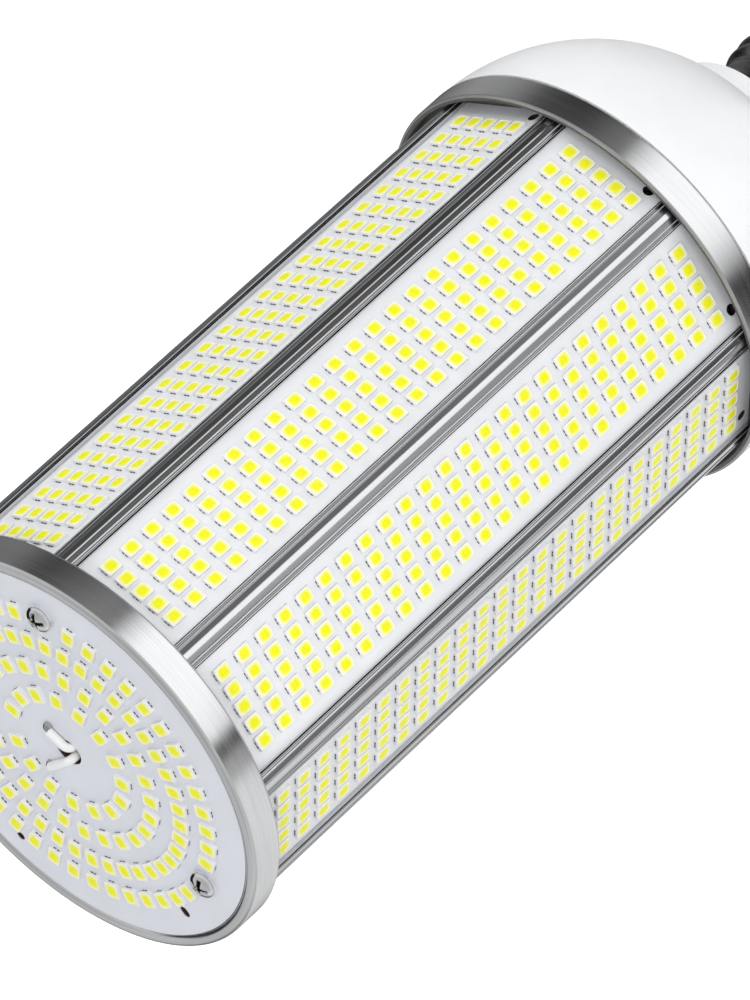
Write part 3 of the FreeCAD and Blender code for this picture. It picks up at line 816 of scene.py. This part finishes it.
class CORNBULB_OT_strips(bpy.types.Operator):
    """Finish the nine strips"""
    bl_idname = "cornbulb.strips"
    bl_label = "Strips"

    def execute(self, context):
        for side in range(SIDES):
            dress("led_strip_%d" % (side + 1), "strip_mask")
        return {"FINISHED"}


class CORNBULB_OT_front_leds(bpy.types.Operator):
    """Place the LED packages on the front board"""
    bl_idname = "cornbulb.front_leds"
    bl_label = "Front LEDs"

    def execute(self, context):
        face = top_of("front_board")
        rim = reach_of("front_board")
        spots = [(share, start + pitch * index)
                 for share, start, pitch, count in FRONT_RINGS for index in range(count)]
        spots += [(GROUP_SHARE, middle + GROUP_PITCH * (index - GROUP_COUNT // 2))
                  for middle in GROUP_MIDDLES for index in range(GROUP_COUNT)]
        places = []
        for share, angle in spots:
            turn = Matrix.Rotation(math.radians(angle - 90), 4, "Z")
            places.append(turn @ Matrix.Translation((0, share * rim, face)))
        led_group("packages_front", places, "front_board_leds", *FRONT_LED)
        return {"FINISHED"}


class CORNBULB_OT_front_board(bpy.types.Operator):
    """Finish the round front board"""
    bl_idname = "cornbulb.front_board"
    bl_label = "Front board"

    def execute(self, context):
        dress("front_board", "front_mask")
        return {"FINISHED"}


class CORNBULB_OT_front_leads(bpy.types.Operator):
    """Finish the two leads on the front board and their solder"""
    bl_idname = "cornbulb.front_leads"
    bl_label = "Front leads"

    def execute(self, context):
        dress("front_lead_1", "white_sheath")
        dress("front_lead_2", "white_sheath")
        dress("front_solder_joints", "solder")
        return {"FINISHED"}


class CORNBULB_OT_front_screws(bpy.types.Operator):
    """Pan-head screws with a cross recess on the front board"""
    bl_idname = "cornbulb.front_screws"
    bl_label = "Front screws"

    def execute(self, context):
        face = top_of("front_board")
        height = top_of("front_board_screws") - face
        verts = []
        faces = []
        indices = []
        for index, turned in enumerate(SCREW_TURNS):
            at = math.radians(SCREW_FIRST + 120 * index)
            center = Vector((SCREW_CIRCLE * math.cos(at), SCREW_CIRCLE * math.sin(at), face))
            base = len(verts)
            points, depths = self.head(height, math.radians(turned))
            verts += [center + point for point in points]
            tip = len(verts) - 1
            for step in range(HEAD_SEGMENTS):
                after = (step + 1) % HEAD_SEGMENTS
                for level in range(HEAD_LEVELS - 1):
                    low = level * HEAD_SEGMENTS
                    high = low + HEAD_SEGMENTS
                    corners = (low + step, low + after, high + after, high + step)
                    faces.append(tuple(base + corner for corner in corners))
                    shallow = min(depths[corner] for corner in corners)
                    indices.append(1 if shallow > RECESS_SHADED else 0)
                low = base + (HEAD_LEVELS - 1) * HEAD_SEGMENTS
                faces.append((low + step, low + after, tip))
                indices.append(1)
            faces.append(tuple(base + step for step in reversed(range(HEAD_SEGMENTS))))
            indices.append(0)
        add_piece("front_screws", verts, faces, ("screw_plating", "recess_shade"),
                  ("front_board_screws",), indices, 28)
        return {"FINISHED"}

    def head(self, height, spin):
        """Points of one head from its foot up to the recess's tip, and the recess's depth there."""
        points = []
        depths = []
        for level in range(HEAD_LEVELS):
            r = HEAD_R if level < 2 else HEAD_R * (1 - (level - 1) / HEAD_LEVELS)
            dome = math.sqrt(max(0, 1 - (r / HEAD_R) ** HEAD_ROUND))
            z = 0 if level == 0 else height * (HEAD_RIM + (1 - HEAD_RIM) * dome)
            for step in range(HEAD_SEGMENTS):
                angle = 2 * math.pi * step / HEAD_SEGMENTS
                depth = self.recess(r, angle - spin) if level > 1 else 0
                depths.append(depth)
                points.append(Vector((r * math.cos(angle), r * math.sin(angle), z - depth)))
        points.append(Vector((0, 0, height - RECESS_DEPTH)))
        return points, depths

    def recess(self, r, angle):
        """Depth of the cross recess at a point of the head."""
        x = abs(r * math.cos(angle))
        y = abs(r * math.sin(angle))
        along = max(x, y)
        across = min(x, y)
        if along > RECESS_REACH or across > RECESS_HALF:
            return 0
        side = min(1.0, (RECESS_HALF - across) / RECESS_SLOPE)
        end = min(1.0, (RECESS_REACH - along) / RECESS_END)
        return (RECESS_DEPTH - RECESS_RISE * along / RECESS_REACH) * min(side, end)


class CORNBULB_OT_body(bpy.types.Operator):
    """Finish the extruded body"""
    bl_idname = "cornbulb.body"
    bl_label = "Body"

    def execute(self, context):
        dress("extruded_body", "drawn_body_shade_and_highlight")
        return {"FINISHED"}


class CORNBULB_OT_rings(bpy.types.Operator):
    """Turn the two brushed end rings"""
    bl_idname = "cornbulb.rings"
    bl_label = "Rings"

    def execute(self, context):
        outer = reach_of("rear_ring") - 0.03 * MM
        wall = outer - 1.2 * MM
        bead = outer - 2.54 * MM
        inner = 28.4 * MM
        soft = 0.9 * MM
        skirt = 0.5 * MM
        edge = 0.12 * MM
        width = top_of("rear_ring") - low_of("rear_ring")
        recess = 2.0 * MM
        flange = recess + 1.0 * MM
        skirt_steps = 6
        soft_steps = 10
        profile = arc((outer - skirt, width - skirt), skirt, 90, 0, skirt_steps)
        profile += arc((outer - soft, soft), soft, 0, -90, soft_steps)
        profile += arc((bead + soft, soft), soft, 270, 180, soft_steps)
        profile += [(bead, recess), (inner, recess), (inner, flange), (wall, flange),
                    (wall, width - edge), (wall + edge, width)]
        brushed = 2 * soft_steps + 2
        inside = len(profile) - skirt_steps - brushed
        # The skirt's rounding is turned edge, the outside brushed, and the inner walls, recess,
        # flange and the flat of the skirt's end a near-black painted shade
        indices = ([1] * skirt_steps + [0] * brushed + [2] * inside) * TURNED_SEGMENTS
        finishes = ("brushed_ring", "turned_edge", "ring_inside_shade")
        rear = low_of("rear_ring")
        front = top_of("front_ring")
        verts, faces = lathe([(r, rear + z) for r, z in profile], TURNED_SEGMENTS)
        faces = [tuple(reversed(face)) for face in faces]
        add_piece("ring_rear", verts, faces, finishes, ("rear_ring",), indices)
        verts, faces = lathe([(r, front - z) for r, z in profile], TURNED_SEGMENTS)
        add_piece("ring_front", verts, faces, finishes, ("front_ring",), indices)
        return {"FINISHED"}


class CORNBULB_OT_cap(bpy.types.Operator):
    """Mould the domed cap and its collar"""
    bl_idname = "cornbulb.cap"
    bl_label = "Cap"

    def execute(self, context):
        rim = low_of("rear_ring")
        rise = 1.3 * MM
        dome = reach_of("rear_ring") - 0.12 * MM
        collar = 16.8 * MM
        fillet = 1.5 * MM
        wall = 2.2 * MM
        edge = 0.3 * MM
        center = rim + rise
        fillet_r = collar + fillet
        fillet_z = center - math.sqrt((dome + fillet) ** 2 - fillet_r ** 2)
        swing = math.degrees(math.atan2(fillet_z - center, fillet_r))
        tilt = math.degrees(math.asin(-rise / dome))
        lip = dome - 2.0 * MM
        lip_top = rim + 1.95 * MM
        spigot = 10.6 * MM
        spigot_end = -11 * MM
        bore = 9.9 * MM
        bore_top = 6 * MM
        profile = [(collar - edge, 0)] + arc((collar - edge, edge), edge, -90, 0, 4)[1:]
        profile += arc((fillet_r, fillet_z), fillet, 180, swing + 180, 10)
        profile += arc((0, center), dome, swing, tilt, 64)[1:]
        profile += [(lip, rim), (lip, lip_top), (lip - wall, lip_top)]
        profile += arc((0, center), dome - wall, -6, -72, 24)
        profile += [(bore, bore_top), (bore, spigot_end), (spigot, spigot_end), (spigot, 0)]
        verts, faces = lathe(profile, TURNED_SEGMENTS)
        add_piece("cap_dome", verts, faces, ("cap_moulding",), ("rear_cap",),
                  smooth=40)
        return {"FINISHED"}


class CORNBULB_OT_screw_base(bpy.types.Operator):
    """Roll the threaded shell of the screw base"""
    bl_idname = "cornbulb.screw_base"
    bl_label = "Screw base"

    def execute(self, context):
        depth = context.scene.corn_bulb_sizes.thread_depth
        crest = reach_of("screw_shell") - 0.02 * MM
        root = crest - depth
        length = -low_of("screw_shell")
        straight = length - 2.2 * MM
        bend = 1.2 * MM
        floor = -length + 0.35 * MM
        mouth = 9.8 * MM
        inner = 10.8 * MM
        verts = []
        for row in range(SHELL_ROWS + 1):
            verts += self.thread_row(context, crest, straight, row / SHELL_ROWS)
        low = arc((root - bend, -straight - 1.0 * MM), bend, 0, -90, 6)
        low += [(mouth, -length), (mouth, floor), (inner - 0.2 * MM, floor), (inner, -straight),
                (inner, 0)]
        for r, z in low:
            verts += circle(r, z, SHELL_SEGMENTS)
        levels = len(verts) // SHELL_SEGMENTS
        faces = []
        for level in range(levels):
            here = level * SHELL_SEGMENTS
            there = (level + 1) % levels * SHELL_SEGMENTS
            for step in range(SHELL_SEGMENTS):
                after = (step + 1) % SHELL_SEGMENTS
                faces.append((here + step, there + step, there + after, here + after))
        add_piece("threaded_shell", verts, faces, ("shell_plating",),
                  ("screw_shell",), smooth=50)
        dress("base_insulator", "black_insulator")
        dress("centre_contact", "contact_plating")
        return {"FINISHED"}

    def thread_row(self, context, crest, straight, share):
        """Points round the thread, at a share of its straight length; it starts on a neck."""
        sizes = context.scene.corn_bulb_sizes
        z = -straight * share
        start = min(1.0, max(0.0, (-z - 7 * MM) / (6 * MM)))
        start = start * start * (3 - 2 * start)
        neck = 1.6 * MM * (1 - start)
        depth = sizes.thread_depth * (0.45 + 0.55 * start)
        fade = min(1.0, share / 0.05) * min(1.0, (1 - share) / 0.06)
        points = []
        for step in range(SHELL_SEGMENTS):
            angle = 2 * math.pi * step / SHELL_SEGMENTS
            wave = 0.5 + 0.5 * math.cos(2 * math.pi * z / sizes.thread_pitch - angle)
            r = crest - neck - depth * (1 - wave * fade)
            points.append((r * math.cos(angle), r * math.sin(angle), z))
        return points


class CORNBULB_OT_driver(bpy.types.Operator):
    """Finish the driver and wires inside the bulb"""
    bl_idname = "cornbulb.driver"
    bl_label = "Driver"

    def execute(self, context):
        for node, finish_name in DRIVER_FINISHES.items():
            dress(node, finish_name)
        return {"FINISHED"}


class CORNBULB_OT_stage(bpy.types.Operator):
    """Set the floor, lights, world and camera"""
    bl_idname = "cornbulb.stage"
    bl_label = "Stage"

    def light(self, name, place, size, power):
        """Soft lamp that lights the bulb and stays out of its reflections."""
        lamp = bpy.data.lights.new(name, "AREA")
        lamp.shape = "RECTANGLE"
        lamp.size = size[0]
        lamp.size_y = size[1]
        lamp.energy = power
        holder = bpy.data.objects.new(name, lamp)
        holder.location = place
        aim = Vector(LAMP_TARGET) - Vector(place)
        holder.rotation_euler = aim.to_track_quat("-Z", "Y").to_euler()
        holder.visible_glossy = False
        bpy.context.scene.collection.objects.link(holder)

    def cards(self, tree):
        """Light and dark cards round the bulb, as seen in polished metal."""
        radius, angle, _ = polar(tree)
        turn = span(tree, angle, -math.pi, math.pi)
        near = ramp_between(tree, turn, -180, 180, NEAR_CARDS)
        far = ramp_between(tree, turn, -180, 180, FAR_CARDS)
        return blend(tree, "MIX", span(tree, radius, CARDS_NEAR, CARDS_FAR), near, far)

    def floor(self, low):
        """White floor that keeps the bulb's shadow and shows the cards to polished metal."""
        far = FLOOR_HALF
        corners = [(-far, -far, low), (far, -far, low), (far, far, low), (-far, far, low)]
        mesh = bpy.data.meshes.new("floor")
        mesh.from_pydata(corners, [], [(0, 1, 2, 3)])
        plane = bpy.data.objects.new("floor", mesh)
        bpy.context.scene.collection.objects.link(plane)
        made, tree, shader = finish("floor_white", FLOOR_GREY, 0.6)
        shader.inputs["Specular IOR Level"].default_value = 0.1
        shader.inputs["Emission Color"].default_value = (1, 1, 1, 1)
        path = tree.nodes.new("ShaderNodeLightPath")
        glow = calculate(tree, "MULTIPLY", path.outputs["Is Camera Ray"], FLOOR_GLOW)
        feed(tree, glow, shader, "Emission Strength")
        card = tree.nodes.new("ShaderNodeEmission")
        card.inputs["Strength"].default_value = CARD_STRENGTH
        feed(tree, self.cards(tree), card, "Color")
        shown = either(tree, path.outputs["Is Glossy Ray"], shader.outputs["BSDF"],
                       card.outputs["Emission"])
        feed(tree, shown, tree.nodes["Material Output"], "Surface")
        mesh.materials.append(made)

    def sky(self):
        """Even studio light, a graded sky for polished metal and a white backdrop."""
        world = bpy.data.worlds.new("studio")
        world.use_nodes = True
        bpy.context.scene.world = world
        tree = world.node_tree
        background = tree.nodes["Background"]
        background.inputs["Color"].default_value = SKY_COLOUR
        background.inputs["Strength"].default_value = SKY_STRENGTH
        _, angle, height = polar(tree, "Generated")
        turn = span(tree, angle, -math.pi, math.pi)
        shade = ramp(tree, height, *SKY_AHEAD)
        for greys, shares in ((SKY_BEHIND, BEHIND_SHARE), (SKY_BESIDE, BESIDE_SHARE)):
            share = ramp_between(tree, turn, -180, 180, shares)
            shade = blend(tree, "MIX", share, shade, ramp(tree, height, *greys))
        mirror = tree.nodes.new("ShaderNodeBackground")
        feed(tree, shade, mirror, "Color")
        backdrop = tree.nodes.new("ShaderNodeBackground")
        backdrop.inputs["Color"].default_value = (1, 1, 1, 1)
        path = tree.nodes.new("ShaderNodeLightPath")
        lit = either(tree, path.outputs["Is Glossy Ray"], background.outputs["Background"],
                     mirror.outputs["Background"])
        seen = either(tree, path.outputs["Is Camera Ray"], lit, backdrop.outputs["Background"])
        feed(tree, seen, tree.nodes["World Output"], "Surface")

    def execute(self, context):
        scene = context.scene
        scene.view_settings.view_transform = "Standard"
        camera = bpy.data.cameras.new("photo_camera")
        camera.sensor_width = 36
        camera.lens = CAMERA_LENS
        camera.clip_end = 20
        holder = bpy.data.objects.new("photo_camera", camera)
        holder.location = CAMERA_PLACE
        holder.rotation_euler = Euler(CAMERA_TURN, "XYZ")
        scene.collection.objects.link(holder)
        scene.camera = holder
        self.floor(CAD_BOX[0][2])
        self.sky()
        for name, (place, size, power) in LAMPS.items():
            self.light(name, place, size, power)
        return {"FINISHED"}


class CORNBULB_PT_panel(bpy.types.Panel):
    """Corn bulb pieces and settings"""
    bl_label = "Corn LED Bulb"
    bl_idname = "CORNBULB_PT_panel"
    bl_space_type = "VIEW_3D"
    bl_region_type = "UI"
    bl_category = "Corn Bulb"

    def draw(self, context):
        sizes = context.scene.corn_bulb_sizes
        colours = context.scene.corn_bulb_colours
        for name in CornBulbSizes.__annotations__:
            self.layout.prop(sizes, name)
        for name in CornBulbColours.__annotations__:
            self.layout.prop(colours, name)
        for operator in OPERATORS:
            self.layout.operator(operator.bl_idname)


OPERATORS = (
    CORNBULB_OT_strips, CORNBULB_OT_strip_leds, CORNBULB_OT_front_board, CORNBULB_OT_front_leds,
    CORNBULB_OT_front_leads, CORNBULB_OT_front_screws, CORNBULB_OT_body, CORNBULB_OT_rings,
    CORNBULB_OT_cap, CORNBULB_OT_screw_base, CORNBULB_OT_driver, CORNBULB_OT_stage,
)
CLASSES = (CornBulbSizes, CornBulbColours) + OPERATORS + (CORNBULB_PT_panel,)


def register():
    """Register the classes and settings."""
    for entry in CLASSES:
        bpy.utils.register_class(entry)
    bpy.types.Scene.corn_bulb_sizes = bpy.props.PointerProperty(type=CornBulbSizes)
    bpy.types.Scene.corn_bulb_colours = bpy.props.PointerProperty(type=CornBulbColours)


def unregister():
    """Remove the classes and settings."""
    del bpy.types.Scene.corn_bulb_colours
    del bpy.types.Scene.corn_bulb_sizes
    for entry in reversed(CLASSES):
        bpy.utils.unregister_class(entry)


def main():
    """Build every piece and the stage."""
    register()
    bpy.ops.cornbulb.strips()
    bpy.ops.cornbulb.strip_leds()
    bpy.ops.cornbulb.front_board()
    bpy.ops.cornbulb.front_leds()
    bpy.ops.cornbulb.front_leads()
    bpy.ops.cornbulb.front_screws()
    bpy.ops.cornbulb.body()
    bpy.ops.cornbulb.rings()
    bpy.ops.cornbulb.cap()
    bpy.ops.cornbulb.screw_base()
    bpy.ops.cornbulb.driver()
    bpy.ops.cornbulb.stage()


if __name__ == "__main__":
    main()
